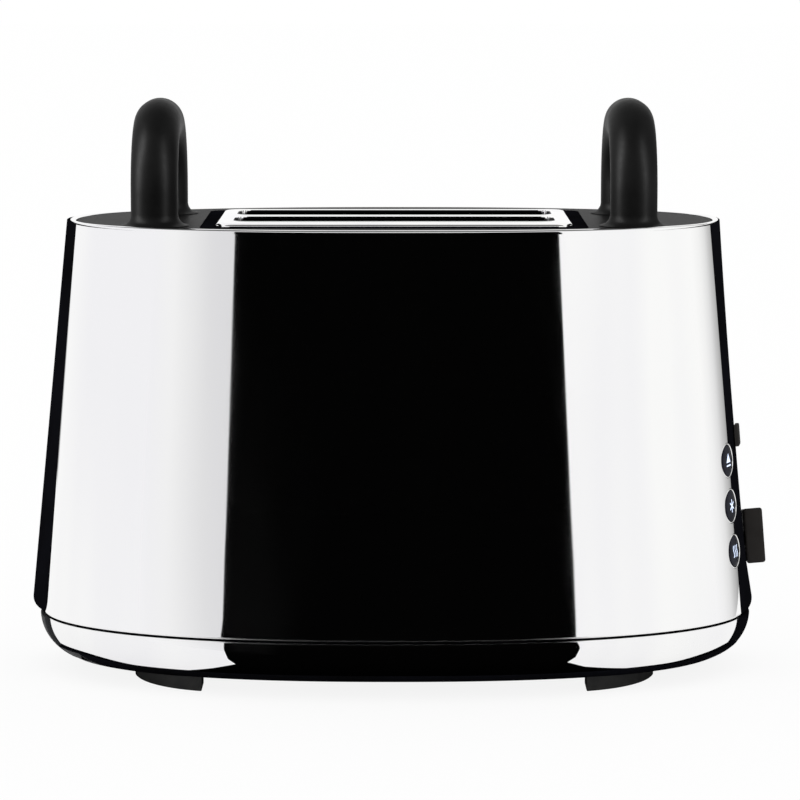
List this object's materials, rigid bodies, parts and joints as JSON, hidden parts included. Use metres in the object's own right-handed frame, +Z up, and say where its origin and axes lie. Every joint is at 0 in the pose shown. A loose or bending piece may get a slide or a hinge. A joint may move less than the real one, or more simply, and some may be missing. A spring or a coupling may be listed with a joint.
{
  "type": "toaster",
  "caption": "Tapered oval chrome toaster with black end bands, loop handles on top, bread slots, an end lever, round buttons and a slide-out crumb tray.",
  "frame": {"origin": "bottom centre of the bounding box, on the surface the feet stand on", "axes": "+X towards the lever end along the body's long way, -Y towards the front, +Z up"},
  "size_m": [0.327, 0.1704, 0.2518],
  "materials": {
    "chrome": "polished",
    "black_gloss": "gloss",
    "black_satin": "satin",
    "black_matte": "fine grain",
    "grey_plastic": "satin",
    "rubber": "matt",
    "steel": "brushed",
    "mica": "mica sheet",
    "board_green": "circuit board",
    "copper": "enamelled wire"
  },
  "bodies": {
    "housing": {"front_shell": "chrome", "rear_shell": "chrome", "top_rim": "chrome", "left_end_band": "black_gloss", "right_end_band": "black_gloss", "front_skirt": "chrome", "rear_skirt": "chrome", "base_pan": "black_gloss", "top_plate": "black_matte", "slot_deck": "chrome", "cord_gland": "black_matte", "deck_trim_left": "black_gloss", "deck_trim_right": "black_gloss", "handle_left": "black_satin", "handle_right": "black_satin", "chassis_plate_left": "steel", "chassis_plate_right": "steel", "foot_front_left": "rubber", "foot_front_right": "rubber", "foot_rear_left": "rubber", "foot_rear_right": "rubber", "base_screw_1": "steel", "base_screw_2": "steel", "base_screw_3": "steel", "base_screw_4": "steel", "reflector_front": "steel", "reflector_rear": "steel", "heater_board_front": "mica", "heater_board_middle": "mica", "heater_board_rear": "mica", "bread_guard_front_front": "steel", "bread_guard_front_rear": "steel", "bread_guard_rear_front": "steel", "bread_guard_rear_rear": "steel", "guide_rod": "steel", "latch_magnet": "copper", "return_spring": "steel", "cancel_bezel": "chrome", "defrost_bezel": "chrome", "reheat_bezel": "chrome", "cancel_switch": "black_matte", "defrost_switch": "black_matte", "reheat_switch": "black_matte", "control_board": "board_green", "browning_control": "black_matte"},
    "lift": {"carriage": "steel", "bread_rack_front": "steel", "bread_rack_rear": "steel", "latch_armature": "steel", "lever_knob": "black_satin"},
    "cancel_key": {"cancel_button": "grey_plastic"},
    "defrost_key": {"defrost_button": "grey_plastic"},
    "reheat_key": {"reheat_button": "grey_plastic"},
    "browning": {"browning_slider": "black_satin"},
    "tray": {"crumb_tray": "grey_plastic"}
  },
  "joints": [
    {"name": "lift_slide", "type": "slide", "parent": "housing", "child": "lift", "axis": [0, 0, 1], "range_m": [0, 0.05], "deforming": ["return_spring"]},
    {"name": "cancel_press", "type": "slide", "parent": "housing", "child": "cancel_key", "axis": [-0.9236, 0.3741, -0.0842], "range_m": [0, 0.001], "stiffness_N_per_m": 500},
    {"name": "defrost_press", "type": "slide", "parent": "housing", "child": "defrost_key", "axis": [-0.9236, 0.3741, -0.0842], "range_m": [0, 0.001], "stiffness_N_per_m": 500},
    {"name": "reheat_press", "type": "slide", "parent": "housing", "child": "reheat_key", "axis": [-0.9236, 0.3741, -0.0842], "range_m": [0, 0.001], "stiffness_N_per_m": 500},
    {"name": "browning_slide", "type": "slide", "parent": "housing", "child": "browning", "axis": [-0.0842, 0, 0.9964], "range_m": [-0.016, 0.016]},
    {"name": "tray_slide", "type": "slide", "parent": "housing", "child": "tray", "axis": [-1, 0, 0], "range_m": [0, 0.2]}
  ]
}
